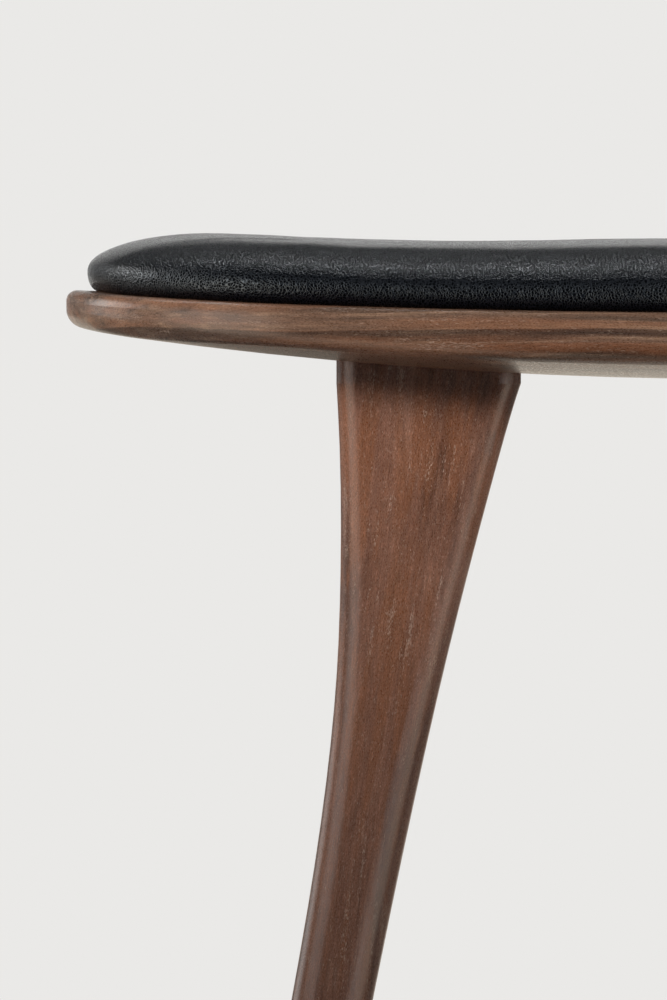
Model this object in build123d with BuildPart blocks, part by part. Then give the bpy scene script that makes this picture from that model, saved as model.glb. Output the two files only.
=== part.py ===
"""A low stool with a saddle-shaped wooden seat, four carved legs and a leather seat pad.

Frame: X runs along the seat's length, Y from front to back (the front is at -Y) and Z up.
The origin lies on the floor, under the middle of the seat. All sizes are in millimetres.
"""
from build123d import *
from math import asin, atan, cos, degrees, radians, sqrt, tan
import os

# Wooden seat
seat_length = 500.0
seat_width = 360.0
seat_height = 428.0  # floor to the middle of the seat's top face
seat_thickness = 26.0  # in the middle
seat_tip_thickness = 13.1  # at the middle of each end
front_bow_radius = 1500.0  # plan radius of the front and back edges
end_bow_radius = 430.0  # plan radius of the two ends
corner_radius = 92.0
saddle_radius = 5000.0  # top face along the seat: the ends rise
crown_radius = 5700.0  # top face across the seat: the front and back fall
hull_roll_width = 52.0  # the underside rolls up over this width along the front and the back
hull_roll_radius = 215.0
top_edge_radius = 4.0
bottom_edge_radius = 7.0
outer_board_width = 120.0

# Loose tongues between the seat's boards
tongue_end_inset = 100.0  # seat's tip to a tongue's end
tongue_width = 18.0
tongue_thickness = 4.0
tongue_depth = 10.0  # top face of the seat down to the tongue
tongue_clearance = 0.1

# Legs
leg_top_width = 65.4
leg_top_depth = 40.0
leg_foot_width = 26.0
leg_foot_depth = 25.0
leg_end_inset = 103.1  # seat's tip to a leg's outer edge at the top
leg_splay = 47.4  # the outer edge steps out this far from top to foot
leg_front_splay = 30.0  # and the front face this far
leg_land = 3.6  # upright land at a leg's inner top edge
# Height, girth between foot and top, splay, and corner radius over depth, down the leg
leg_station_shares = (
    (1.000, 1.000, 0.000, 0.200),
    (0.950, 0.822, -0.021, 0.230),
    (0.890, 0.646, -0.032, 0.260),
    (0.820, 0.468, -0.028, 0.300),
    (0.740, 0.302, -0.002, 0.330),
    (0.650, 0.181, 0.068, 0.360),
    (0.550, 0.106, 0.184, 0.385),
    (0.445, 0.072, 0.334, 0.400),
    (0.335, 0.054, 0.499, 0.410),
    (0.225, 0.036, 0.663, 0.420),
    (0.110, 0.018, 0.835, 0.425),
    (0.000, 0.000, 1.000, 0.430),
)

# Leg bolts, their washers and threaded inserts, and the dowels beside them
leg_bolt_inset = 29.9  # a leg's outer edge at the top to its bolt
bolt_diameter = 8.0
bolt_length = 40.0
bolt_tip_chamfer = 1.0
bolt_head_diameter = 13.0
bolt_head_height = 5.0
bolt_socket_width = 5.0  # across the flats
bolt_socket_depth = 3.0
bolt_grip = 9.0  # wood between the washer and the seat's underside
hole_clearance = 0.4  # round a bolt or a screw that passes through
washer_diameter = 22.0
washer_thickness = 1.6
washer_clearance = 1.0  # round a washer in its counterbore
insert_diameter = 13.5
insert_length = 30.0
insert_sink = 1.0  # underside of the seat down to the insert
insert_thread_depth = 0.8
insert_thread_pitch = 3.0
insert_room = 3.0  # hole left beyond the insert
dowel_diameter = 10.0
dowel_length = 38.0
dowel_spacing = 36.0
dowel_seat_depth = 12.0
dowel_chamfer = 1.0
dowel_room = 0.5  # hole left beyond each end of a dowel
fit_clearance = 0.05  # round a dowel, a thread or a nut

# Glides under the feet
glide_diameter = 20.0
glide_thickness = 3.0
glide_edge_radius = 1.0
felt_thickness = 3.0
glide_screw_diameter = 3.5
glide_screw_length = 18.0
glide_screw_tip_chamfer = 1.2
glide_screw_head_diameter = 7.0
glide_screw_head_height = 2.0
glide_screw_room = 1.0  # hole left beyond the screw's tip

# Seat pad
pad_inset = 7.5  # seat's edge to the pad's edge
pad_thickness = 24.6  # wood to the top of the pad, in the middle
pad_length_radius = 8000.0  # pad's top along the seat
pad_crown_radius = 2180.0  # pad's top across the seat
pad_roll_width = 38.0  # the top rolls down to the side over this width
pad_bottom_radius = 6.0  # the side draws in under this radius
soft_gap = 0.3  # between each soft piece and its neighbours
leather_thickness = 1.4
hem_width = 30.0  # leather turned under the pad board
lining_thickness = 0.5
board_thickness = 6.0
board_inset = 6.0  # leather to the pad board's edge
board_edge_radius = 1.5

# Pad screws, their washers and tee nuts
pad_screw_end_inset = 70.0  # seat's tip to a pad screw, along X
pad_screw_side_inset = 110.0  # and the seat's front edge to it, along Y
pad_screw_diameter = 5.0
pad_screw_length = 16.0
pad_screw_head_diameter = 9.0
pad_screw_head_height = 3.8
pad_screw_socket_width = 3.0  # across the flats
pad_screw_socket_depth = 2.0
pad_screw_grip = 8.0  # wood between the washer and the seat's top face
pad_washer_diameter = 11.0
pad_washer_thickness = 1.0
pad_washer_clearance = 0.5
tee_flange_diameter = 16.0
tee_flange_thickness = 1.2
tee_spot_depth = 0.6  # flat cut in the pad board under a tee nut's flange
tee_barrel_diameter = 6.6
tee_barrel_length = 5.0

# Staples
staple_count = 48
staple_width = 10.0
staple_wire = 0.7
staple_length = 5.0
staple_inset = 16.0  # pad's edge to the staples
staple_lift = 0.1  # wood to a staple's crown

overrun = 40.0  # cutting solids reach this far past what they cut
upright_limit = 0.01  # a face whose normal rises less than this is a side wall

# Levels, from the floor up
foot_top = felt_thickness + glide_thickness
seat_bottom = seat_height - seat_thickness
pad_top = seat_height + pad_thickness

# Levels in the pad, above the wood and square to it
hem_floor = soft_gap
hem_top = hem_floor + leather_thickness
board_floor = hem_top + soft_gap
board_top = board_floor + board_thickness
lining_top = board_floor - soft_gap
lining_floor = lining_top - lining_thickness

# A curved face: the height of its middle, its radius along the seat and its radius across it
seat_face = (seat_height, saddle_radius, crown_radius)
pad_face = (pad_top, pad_length_radius, pad_crown_radius)


def circle_drop(radius, run):
    """How far a circle leaves its tangent after a run along that tangent."""
    return radius - sqrt(radius**2 - run**2)


def face_height(face, x, y, raised=0.0):
    """Height of a curved face over a point of the plan, once the face is raised square to itself."""
    middle, along, across = face
    reach = along + circle_drop(across + raised, y) - raised
    return middle + along - sqrt(reach**2 - x**2)


def face_plane(face, x, y, raised=0.0, x_dir=(1, 0, 0)):
    """The plane that touches a raised curved face over a point of the plan."""
    middle, along, across = face
    height = face_height(face, x, y, raised)
    rise = middle + along - height
    fall = y / sqrt((across + raised) ** 2 - y**2)
    reach = sqrt(rise**2 + x**2)
    return Plane(origin=(x, y, height), x_dir=x_dir, z_dir=(-x / rise, fall * reach / rise, 1))


def underside_height(x):
    """Height of the seat's underside where it is straight across."""
    return seat_bottom + circle_drop(hull_radius, x)


def swung_plane(middle, radius):
    """The YZ plane through (0, 0, middle), swung past an end of the seat about the Y axis radius above it."""
    side = (seat_length / 2 + overrun) / radius
    up = sqrt(1 - side**2)
    origin = (-radius * side, 0, middle + radius * (1 - up))
    return Plane(origin=origin, x_dir=(0, 1, 0), z_dir=(up, 0, -side))


def swing(middle, radius):
    """Turn the waiting profile about the Y axis that lies radius above middle, past both ends of the seat."""
    turn = 2 * degrees(asin((seat_length / 2 + overrun) / radius))
    revolve(axis=Axis((0, 0, middle + radius), (0, -1, 0)), revolution_arc=turn)


def block_under(face, raised=0.0):
    """The space under a curved face, once the face is raised square to itself."""
    middle, along, across = face
    half = seat_width / 2 + overrun
    edge = -circle_drop(across + raised, half)
    floor = -overrun - seat_thickness
    with BuildPart() as block:
        with BuildSketch(swung_plane(middle + raised, along - raised)):
            with BuildLine():
                ThreePointArc((-half, edge), (0, 0), (half, edge))
                Polyline((half, edge), (half, floor), (-half, floor), (-half, edge))
            make_face()
        swing(middle + raised, along - raised)
    return block.part


def block_over_hull():
    """The space above the seat's underside: straight across the middle, then rolled up."""
    edge = (seat_width + overrun) / 2
    rise = circle_drop(hull_roll_radius, edge - hull_flat)
    roof = seat_thickness + overrun
    with BuildPart() as block:
        with BuildSketch(swung_plane(seat_bottom, hull_radius)):
            with BuildLine():
                Line((-hull_flat, 0), (hull_flat, 0))
                TangentArc((hull_flat, 0), (edge, rise), tangent=(1, 0))
                TangentArc((-hull_flat, 0), (-edge, rise), tangent=(-1, 0))
                Polyline((edge, rise), (edge, roof), (-edge, roof), (-edge, rise))
            make_face()
        swing(seat_bottom, hull_radius)
    return block.part


def seat_column(inset=0.0):
    """The seat's outline, drawn in by inset, as an upright column past the seat and the pad."""
    front_centre = front_bow_radius - seat_width / 2
    end_centre = end_bow_radius - seat_length / 2
    with BuildPart() as column:
        with BuildSketch(Plane.XY.offset(seat_bottom - overrun)) as outline:
            with Locations((0, front_centre)):
                Circle(front_bow_radius - inset)
            with Locations((0, -front_centre)):
                Circle(front_bow_radius - inset, mode=Mode.INTERSECT)
            with Locations((end_centre, 0)):
                Circle(end_bow_radius - inset, mode=Mode.INTERSECT)
            with Locations((-end_centre, 0)):
                Circle(end_bow_radius - inset, mode=Mode.INTERSECT)
            fillet(outline.vertices(), corner_radius - inset)
        extrude(amount=pad_top - seat_bottom + 2 * overrun)
    return column.part


def side_walls(solid):
    """The upright faces round a solid."""
    return solid.faces().filter_by(lambda face: abs(face.normal_at().Z) < upright_limit)


def seat_layer(inset, low, high):
    """A sheet of the seat's outline, drawn in by inset, between two levels above the wood."""
    with BuildPart() as layer:
        add(seat_column(inset))
        add(block_under(seat_face, high), mode=Mode.INTERSECT)
        add(block_under(seat_face, low), mode=Mode.SUBTRACT)
    return layer.part


def pad_form(skin):
    """The pad's form once a skin is taken off it all round: crowned, rolled and drawn in."""
    corner = (seat_length / 2 - pad_inset, seat_width / 2 - pad_inset)
    side = face_height(pad_face, *corner) - face_height(seat_face, *corner) - hem_floor
    roll_height = side - pad_bottom_radius
    slope = atan(roll_height / pad_roll_width)
    # An ellipse's slanted tangent leaves its two square tangents this share of the way along
    tangent_share = sqrt(2) - 1
    side_radius = tangent_share * roll_height / tan((radians(90) - slope) / 2)
    top_radius = tangent_share * pad_roll_width / tan(slope / 2)
    bevel_height = (1 - tangent_share) * roll_height - skin * (1 + tan(slope) - 1 / cos(slope))
    with BuildPart() as form:
        add(seat_column(pad_inset + skin))
        add(block_under(pad_face, -skin), mode=Mode.INTERSECT)
        add(block_under(seat_face, hem_floor + skin), mode=Mode.SUBTRACT)
        fillet(form.faces().sort_by(Axis.Z)[0].edges(), pad_bottom_radius - skin)
        top = form.faces().sort_by(Axis.Z)[-1]
        chamfer(top.edges(), bevel_height / tan(slope), bevel_height, reference=top)
        fillet([wall.edges().sort_by(Axis.Z)[-1] for wall in side_walls(form)], side_radius - skin)
        fillet(form.faces().sort_by(Axis.Z)[-1].edges(), top_radius - skin)
    return form.part


def corners(reach, spread):
    """The four places at the same reach along X and spread along Y."""
    return [(x, y) for x in (-reach, reach) for y in (-spread, spread)]


def rods(places, low, high, diameter, mode=Mode.ADD):
    """Add an upright rod at each place of the open part, or cut its hole, between two heights."""
    with BuildSketch(Plane.XY.offset(low)) as section:
        with Locations(*places):
            Circle(diameter / 2)
    extrude(section.sketch, amount=high - low, mode=mode)


def bores(places, low, high, diameter):
    """Cut an upright round hole at each place of the open part, between two heights."""
    rods(places, low, high, diameter, mode=Mode.SUBTRACT)


def socket(places, low, high, width):
    """Cut a hexagon socket at each place of the open part, between two heights."""
    with BuildSketch(Plane.XY.offset(low)) as section:
        with Locations(*places):
            RegularPolygon(width / 2, 6, major_radius=False)
    extrude(section.sketch, amount=high - low, mode=Mode.SUBTRACT)


def finish(piece, name):
    """Label a finished piece and write it to its own file."""
    piece.part.label = name
    export_step(piece.part, f"parts/{name}.step")


def finish_corners(piece, name):
    """Write the front left corner's piece, and its mirror images for the other three corners."""
    for row, rear in (("front", False), ("rear", True)):
        for hand, right in (("left", False), ("right", True)):
            with BuildPart() as corner_piece:
                add(piece.part)
                if right:
                    mirror(about=Plane.YZ, mode=Mode.REPLACE)
                if rear:
                    mirror(about=Plane.XZ, mode=Mode.REPLACE)
            finish(corner_piece, f"{row}_{hand}_{name}")


os.makedirs("parts", exist_ok=True)

# Seat's underside: straight across its middle, and round enough to leave the tips their thickness
hull_flat = seat_width / 2 - hull_roll_width
hull_rise = seat_thickness + circle_drop(saddle_radius, seat_length / 2) - seat_tip_thickness
hull_radius = ((seat_length / 2) ** 2 + hull_rise**2) / (2 * hull_rise)

# Seat's joints, and the legs' places under the straight part of the underside
middle_board_width = seat_width - 2 * outer_board_width
tongue_length = seat_length - 2 * tongue_end_inset
leg_outer_reach = seat_length / 2 - leg_end_inset
leg_inner_reach = leg_outer_reach - leg_top_width
leg_front_reach = hull_flat

# Places of the fasteners
leg_bolt_reach = leg_outer_reach - leg_bolt_inset
leg_bolt_spread = leg_front_reach - leg_top_depth / 2
leg_bolt_corner = [(-leg_bolt_reach, -leg_bolt_spread)]
leg_bolt_corners = corners(leg_bolt_reach, leg_bolt_spread)
dowel_reaches = (leg_bolt_reach - dowel_spacing / 2, leg_bolt_reach + dowel_spacing / 2)
dowel_corner = [(-reach, -leg_bolt_spread) for reach in dowel_reaches]
dowel_corners = [place for reach in dowel_reaches for place in corners(reach, leg_bolt_spread)]
foot_reach = leg_outer_reach + leg_splay - leg_foot_width / 2
foot_spread = leg_front_reach + leg_front_splay - leg_foot_depth / 2
foot_corner = [(-foot_reach, -foot_spread)]
pad_screw_reach = seat_length / 2 - pad_screw_end_inset
pad_screw_spread = seat_width / 2 - pad_screw_side_inset
pad_screw_corners = corners(pad_screw_reach, pad_screw_spread)

# Heights of the fasteners
seat_underside = underside_height(leg_bolt_reach)
washer_seat = seat_underside + bolt_grip
bolt_seat = washer_seat + washer_thickness
bolt_top = bolt_seat + bolt_head_height
insert_top = seat_underside - insert_sink
insert_floor = insert_top - insert_length
dowel_top = seat_underside + dowel_seat_depth
dowel_floor = dowel_top - dowel_length
glide_screw_seat = felt_thickness + glide_screw_head_height
glide_screw_top = felt_thickness + glide_screw_length
pad_washer_seat = face_height(seat_face, pad_screw_reach, pad_screw_spread) - pad_screw_grip
pad_screw_seat = pad_washer_seat - pad_washer_thickness
pad_screw_floor = pad_screw_seat - pad_screw_head_height
tee_seat = face_height(seat_face, pad_screw_reach, pad_screw_spread, board_top) - tee_spot_depth
tee_top = tee_seat + tee_flange_thickness
above_pad = pad_top + overrun
below_seat = seat_bottom - overrun

# Wooden seat, glued up from three boards with loose tongues in the joints
with BuildPart() as seat:
    add(seat_column())
    add(block_under(seat_face), mode=Mode.INTERSECT)
    add(block_over_hull(), mode=Mode.INTERSECT)
    top = seat.faces().filter_by(lambda face: face.normal_at().Z > upright_limit)
    fillet(top.edges(), top_edge_radius)
    hull = seat.faces().filter_by(lambda face: face.normal_at().Z < -upright_limit)
    fillet(side_walls(seat).edges() & hull.edges(), bottom_edge_radius)
    bores(leg_bolt_corners, below_seat, above_pad, bolt_diameter + 2 * hole_clearance)
    bores(leg_bolt_corners, washer_seat, above_pad, washer_diameter + 2 * washer_clearance)
    bores(dowel_corners, below_seat, dowel_top + dowel_room, dowel_diameter + 2 * fit_clearance)
    bores(pad_screw_corners, below_seat, above_pad, pad_screw_diameter + 2 * hole_clearance)
    bores(pad_screw_corners, below_seat, pad_washer_seat, pad_washer_diameter + 2 * pad_washer_clearance)
    with Locations((0, 0, seat_height - tongue_depth - tongue_thickness / 2)):
        with GridLocations(0, middle_board_width, 1, 2):
            Box(
                tongue_length + 2 * tongue_clearance,
                tongue_width + 2 * tongue_clearance,
                tongue_thickness + 2 * tongue_clearance,
                mode=Mode.SUBTRACT,
            )

with BuildPart() as front_seat_board:
    add(seat.part)
    split(bisect_by=Plane.XZ.offset(middle_board_width / 2), keep=Keep.TOP)
finish(front_seat_board, "front_seat_board")

with BuildPart() as middle_seat_board:
    add(seat.part)
    split(bisect_by=Plane.XZ.offset(middle_board_width / 2), keep=Keep.BOTTOM)
    split(bisect_by=Plane.XZ.offset(-middle_board_width / 2), keep=Keep.TOP)
finish(middle_seat_board, "middle_seat_board")

with BuildPart() as rear_seat_board:
    add(seat.part)
    split(bisect_by=Plane.XZ.offset(-middle_board_width / 2), keep=Keep.BOTTOM)
finish(rear_seat_board, "rear_seat_board")

for row, side in (("front", -1), ("rear", 1)):
    with BuildPart() as loose_tongue:
        with BuildSketch(Plane.XY.offset(seat_height - tongue_depth - tongue_thickness)):
            with Locations((0, side * middle_board_width / 2)):
                Rectangle(tongue_length, tongue_width)
        extrude(amount=tongue_thickness)
    finish(loose_tongue, f"{row}_loose_tongue")

# Leg of the front left corner, coped to the seat's underside
leg_shoulder = underside_height(leg_inner_reach) - leg_land
with BuildPart() as leg:
    for height_share, girth_share, splay_share, round_share in reversed(leg_station_shares):
        width = leg_foot_width + girth_share * (leg_top_width - leg_foot_width)
        depth = leg_foot_depth + girth_share * (leg_top_depth - leg_foot_depth)
        outer = leg_outer_reach + splay_share * leg_splay
        front = leg_front_reach + splay_share * leg_front_splay
        with BuildSketch(Plane.XY.offset(foot_top + height_share * (leg_shoulder - foot_top))):
            with Locations((width / 2 - outer, depth / 2 - front)):
                RectangleRounded(width, depth, round_share * depth)
    loft()
    extrude(leg.faces().sort_by(Axis.Z)[-1], amount=seat_thickness)
    add(block_over_hull(), mode=Mode.SUBTRACT)
    bores(leg_bolt_corner, insert_floor - insert_room, above_pad, insert_diameter + 2 * fit_clearance)
    bores(dowel_corner, dowel_floor - dowel_room, above_pad, dowel_diameter + 2 * fit_clearance)
    bores(foot_corner, 0, glide_screw_top + glide_screw_room, glide_screw_diameter + 2 * fit_clearance)
finish_corners(leg, "leg")

with BuildPart() as leg_dowels:
    rods(dowel_corner, dowel_floor, dowel_top, dowel_diameter)
    chamfer(leg_dowels.edges().filter_by(GeomType.CIRCLE), dowel_chamfer)
finish_corners(leg_dowels, "leg_dowels")

with BuildPart() as leg_insert:
    rods(leg_bolt_corner, insert_floor, insert_top, insert_diameter)
    bores(leg_bolt_corner, insert_floor, insert_top, bolt_diameter + 2 * fit_clearance)
    groove_count = round(insert_length / insert_thread_pitch)
    groove_pitch = insert_length / groove_count
    for groove in range(groove_count):
        with BuildSketch(Plane.XY.offset(insert_floor + (groove + 1 / 4) * groove_pitch)):
            with Locations(*leg_bolt_corner):
                Circle(insert_diameter)
                Circle(insert_diameter / 2 - insert_thread_depth, mode=Mode.SUBTRACT)
        extrude(amount=groove_pitch / 2, mode=Mode.SUBTRACT)
finish_corners(leg_insert, "leg_insert")

with BuildPart() as leg_bolt:
    rods(leg_bolt_corner, bolt_seat - bolt_length, bolt_seat, bolt_diameter)
    chamfer(leg_bolt.edges().filter_by(GeomType.CIRCLE).sort_by(Axis.Z)[0], bolt_tip_chamfer)
    rods(leg_bolt_corner, bolt_seat, bolt_top, bolt_head_diameter)
    socket(leg_bolt_corner, bolt_top - bolt_socket_depth, bolt_top, bolt_socket_width)
finish_corners(leg_bolt, "leg_bolt")

with BuildPart() as bolt_washer:
    rods(leg_bolt_corner, washer_seat, bolt_seat, washer_diameter)
    bores(leg_bolt_corner, washer_seat, bolt_seat, bolt_diameter + 2 * hole_clearance)
finish_corners(bolt_washer, "bolt_washer")

# Glides under the feet
with BuildPart() as glide:
    rods(foot_corner, felt_thickness, foot_top, glide_diameter)
    fillet(glide.edges().filter_by(GeomType.CIRCLE).sort_by(Axis.Z)[0], glide_edge_radius)
    bores(foot_corner, felt_thickness, foot_top, glide_screw_diameter + 2 * fit_clearance)
    bores(foot_corner, felt_thickness, glide_screw_seat, glide_screw_head_diameter + 2 * fit_clearance)
finish_corners(glide, "glide")

with BuildPart() as glide_felt:
    rods(foot_corner, 0, felt_thickness, glide_diameter)
finish_corners(glide_felt, "glide_felt")

with BuildPart() as glide_screws:
    foot_corners = corners(foot_reach, foot_spread)
    rods(foot_corners, felt_thickness, glide_screw_seat, glide_screw_head_diameter)
    rods(foot_corners, glide_screw_seat, glide_screw_top, glide_screw_diameter)
    tips = glide_screws.edges().filter_by(GeomType.CIRCLE).group_by(Axis.Z)[-1]
    chamfer(tips, glide_screw_tip_chamfer)
finish(glide_screws, "glide_screws")

# Seat pad: leather shell, foam, pad board and lining
with BuildPart() as leather_cover:
    add(pad_form(0))
    add(pad_form(leather_thickness), mode=Mode.SUBTRACT)
    add(seat_layer(pad_inset + hem_width, 0, board_floor), mode=Mode.SUBTRACT)
finish(leather_cover, "leather_cover")

with BuildPart() as pad_foam:
    add(pad_form(leather_thickness + soft_gap))
    board_space = seat_layer(pad_inset + leather_thickness + board_inset - soft_gap, 0, board_top + soft_gap)
    add(board_space, mode=Mode.SUBTRACT)
    bores(pad_screw_corners, below_seat, tee_top + soft_gap, tee_flange_diameter + 2 * soft_gap)
finish(pad_foam, "pad_foam")

with BuildPart() as pad_board:
    add(seat_layer(pad_inset + leather_thickness + board_inset, board_floor, board_top))
    fillet(pad_board.edges() - side_walls(pad_board).edges().filter_by(Axis.Z), board_edge_radius)
    bores(pad_screw_corners, below_seat, above_pad, tee_barrel_diameter + 2 * fit_clearance)
    bores(pad_screw_corners, tee_seat, above_pad, tee_flange_diameter + 2 * fit_clearance)
finish(pad_board, "pad_board")

with BuildPart() as pad_lining:
    add(seat_layer(pad_inset + hem_width + soft_gap, lining_floor, lining_top))
    bores(pad_screw_corners, below_seat, above_pad, pad_screw_diameter + 2 * hole_clearance)
finish(pad_lining, "pad_lining")

# Staples through the hem
with BuildPart() as pad_staples:
    staple_line = seat_column(pad_inset + staple_inset).faces().sort_by(Axis.Z)[0].outer_wire()
    planes = []
    for staple in range(staple_count):
        place = (staple + 1 / 2) / staple_count
        spot = staple_line.position_at(place)
        planes.append(face_plane(seat_face, spot.X, spot.Y, staple_lift, staple_line.tangent_at(place)))
    with BuildSketch(*planes):
        Rectangle(staple_width, staple_wire)
    extrude(amount=staple_wire)
    with BuildSketch(*planes):
        with GridLocations(staple_width - staple_wire, 0, 2, 1):
            Rectangle(staple_wire, staple_wire)
    extrude(amount=staple_length)
finish(pad_staples, "pad_staples")

# Screws that hold the pad down, driven from under the seat
with BuildPart() as tee_nuts:
    rods(pad_screw_corners, tee_seat - tee_barrel_length, tee_seat, tee_barrel_diameter)
    rods(pad_screw_corners, tee_seat, tee_top, tee_flange_diameter)
    bores(pad_screw_corners, below_seat, above_pad, pad_screw_diameter + 2 * fit_clearance)
finish(tee_nuts, "tee_nuts")

with BuildPart() as pad_screws:
    rods(pad_screw_corners, pad_screw_floor, pad_screw_seat, pad_screw_head_diameter)
    rods(pad_screw_corners, pad_screw_seat, pad_screw_seat + pad_screw_length, pad_screw_diameter)
    socket_roof = pad_screw_floor + pad_screw_socket_depth
    socket(pad_screw_corners, pad_screw_floor, socket_roof, pad_screw_socket_width)
finish(pad_screws, "pad_screws")

with BuildPart() as pad_screw_washers:
    rods(pad_screw_corners, pad_screw_seat, pad_washer_seat, pad_washer_diameter)
    bores(pad_screw_corners, pad_screw_seat, pad_washer_seat, pad_screw_diameter + 2 * hole_clearance)
finish(pad_screw_washers, "pad_screw_washers")
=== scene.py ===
"""Dress a low stool: a saddle-shaped hardwood seat, four carved legs and a black leather pad.

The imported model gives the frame: metres, X along the seat, the front at -Y, Z up from the floor.
Its hard pieces keep their shapes and get their finishes here. The leather cover, the foam, the
lining and the felts under the feet are modelled here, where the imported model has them.
"""

import logging
import math
import random
from dataclasses import dataclass, field, replace
from enum import Enum
from typing import Any, Callable

import bpy
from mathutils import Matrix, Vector, noise


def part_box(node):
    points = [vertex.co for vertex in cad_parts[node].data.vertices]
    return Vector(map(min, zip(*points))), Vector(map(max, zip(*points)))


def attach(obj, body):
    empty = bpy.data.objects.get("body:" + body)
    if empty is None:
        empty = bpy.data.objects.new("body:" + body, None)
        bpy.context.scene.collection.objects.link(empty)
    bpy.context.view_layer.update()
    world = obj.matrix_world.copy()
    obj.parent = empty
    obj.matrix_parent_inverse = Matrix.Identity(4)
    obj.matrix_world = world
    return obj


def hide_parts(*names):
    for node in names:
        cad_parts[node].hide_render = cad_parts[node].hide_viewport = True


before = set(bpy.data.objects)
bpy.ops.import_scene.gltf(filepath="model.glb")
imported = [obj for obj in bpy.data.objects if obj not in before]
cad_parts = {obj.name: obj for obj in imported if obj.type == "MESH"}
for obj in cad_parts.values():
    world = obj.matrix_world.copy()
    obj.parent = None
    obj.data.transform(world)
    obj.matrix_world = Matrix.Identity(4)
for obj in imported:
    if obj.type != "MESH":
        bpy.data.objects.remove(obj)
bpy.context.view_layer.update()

log = logging.getLogger("stool")

Colour = tuple[float, float, float]
Point = tuple[float, float, float]
Face = tuple[int, ...]
Pair = tuple[float, float]
Material = bpy.types.Material
Object = bpy.types.Object
Steps = tuple[int, int]
Height = Callable[[float, float], float]
MM = 0.001
QUARTER = math.pi / 2
NUT_FLANGE = 8 * MM
BODY = "root"
ROWS = ("front", "rear")
HANDS = ("left", "right")
CORNERS = tuple(f"{row}_{hand}" for row in ROWS for hand in HANDS)


class Slot(Enum):
    """The record's material slots for the new pieces, passed along but not set on them."""

    PAD_LEATHER = "pad_leather"
    PAD_FOAM = "pad_foam"
    PAD_LINING = "pad_lining"
    GLIDE_FELT = "glide_felt"


class Grain(Enum):
    """The way that a wooden piece's fibres run."""

    ALONG_SEAT = 0
    DOWN_LEG = 2


class Graph:
    """A node tree, with a short method for each kind of node that the finishes use."""

    def __init__(self, tree: bpy.types.NodeTree, where: str = "Object") -> None:
        """Empty the tree and find the surface point.

        Args:
            tree: The tree of a material or a world.
            where: Blender's name for the coordinates: the piece's own, or a world's directions.
        """
        self.tree = tree
        self.tree.nodes.clear()
        self.place = self.add("ShaderNodeTexCoord").outputs[where]

    def add(self, kind: str, inputs: dict[Any, Any] | None = None, **settings: Any) -> bpy.types.Node:
        """Add a node.

        Args:
            kind: Blender's name for the node.
            inputs: Values or sockets, by the input's name or number.
            settings: The node's own properties.

        Returns:
            The new node.
        """
        node = self.tree.nodes.new(kind)
        for name, value in settings.items():
            setattr(node, name, value)
        for key, value in (inputs or {}).items():
            if isinstance(value, bpy.types.NodeSocket):
                self.tree.links.new(value, node.inputs[key])
            else:
                node.inputs[key].default_value = value
        return node

    def put(self, kind: str, inputs: dict[Any, Any] | None = None, **settings: Any) -> Any:
        """Add a node and return its first output."""
        return self.add(kind, inputs, **settings).outputs[0]

    def stretch(self, vector: Any, scale: Point, shift: Point = (0, 0, 0), turn: Point = (0, 0, 0)) -> Any:
        """Return a vector turned by radians, scaled to features per metre and then shifted."""
        turned = self.put("ShaderNodeMapping", {"Vector": vector, "Rotation": turn})
        return self.put("ShaderNodeMapping", {"Vector": turned, "Scale": scale, "Location": shift})

    def noise(self, vector: Any, scale: float = 1.0, detail: float = 2.0, rough: float = 0.5) -> Any:
        """Return smooth noise from 0 to 1."""
        inputs = {"Vector": vector, "Scale": scale, "Detail": detail, "Roughness": rough}
        return self.put("ShaderNodeTexNoise", inputs)

    def cells(self, vector: Any, scale: float, feature: str = "F1") -> Any:
        """Return how far a cellular pattern's nearest point is, or its nearest edge."""
        node = self.add("ShaderNodeTexVoronoi", {"Vector": vector, "Scale": scale}, feature=feature)
        return node.outputs["Distance"]

    def math(self, operation: str, *values: Any) -> Any:
        """Return the result of a sum on one to three values or sockets."""
        return self.put("ShaderNodeMath", dict(enumerate(values)), operation=operation)

    def vector(self, operation: str, *values: Any) -> Any:
        """Return the vector that a sum on one or two vectors gives."""
        return self.put("ShaderNodeVectorMath", dict(enumerate(values)), operation=operation)

    def measure(self, operation: str, *values: Any) -> Any:
        """Return the number that a sum on one or two vectors gives."""
        node = self.add("ShaderNodeVectorMath", dict(enumerate(values)), operation=operation)
        return node.outputs["Value"]

    def scaled(self, vector: Any, scale: Any) -> Any:
        """Return a vector or a colour times a number."""
        return self.put("ShaderNodeVectorMath", {0: vector, 3: scale}, operation="SCALE")

    def parts(self, vector: Any) -> list[Any]:
        """Return a vector's parts along X, Y and Z."""
        return list(self.add("ShaderNodeSeparateXYZ", {0: vector}).outputs)

    def triple(self, value: Any) -> Any:
        """Return a vector, or a grey, that holds a number three times."""
        return self.put("ShaderNodeCombineXYZ", {0: value, 1: value, 2: value})

    def span(self, value: Any, low: float, high: float, to_low: float = 0.0, to_high: float = 1.0) -> Any:
        """Return a value carried smoothly from one range to another, and held at its ends."""
        inputs = {0: value, 1: low, 2: high, 3: to_low, 4: to_high}
        return self.put("ShaderNodeMapRange", inputs, interpolation_type="SMOOTHSTEP")

    def blend(self, share: Any, first: Any, second: Any, mode: str = "MIX") -> Any:
        """Return the first colour with a share of the second one mixed in, in one of Blender's modes."""
        inputs = {0: share, 6: opaque(first), 7: opaque(second)}
        return self.add("ShaderNodeMix", inputs, data_type="RGBA", blend_type=mode).outputs[2]

    def bump(self, height: Any, depth: float, under: Any = None) -> Any:
        """Return a normal that follows a height, where 1 is a depth in metres, laid over a coarser normal."""
        below = {} if under is None else {"Normal": under}
        return self.put("ShaderNodeBump", {"Height": height, "Distance": depth, "Strength": 1.0, **below})


def opaque(colour: Any) -> Any:
    """Return a colour with its opacity, or a socket as it is."""
    return (*colour, 1.0) if isinstance(colour, tuple) and len(colour) == 3 else colour


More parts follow.
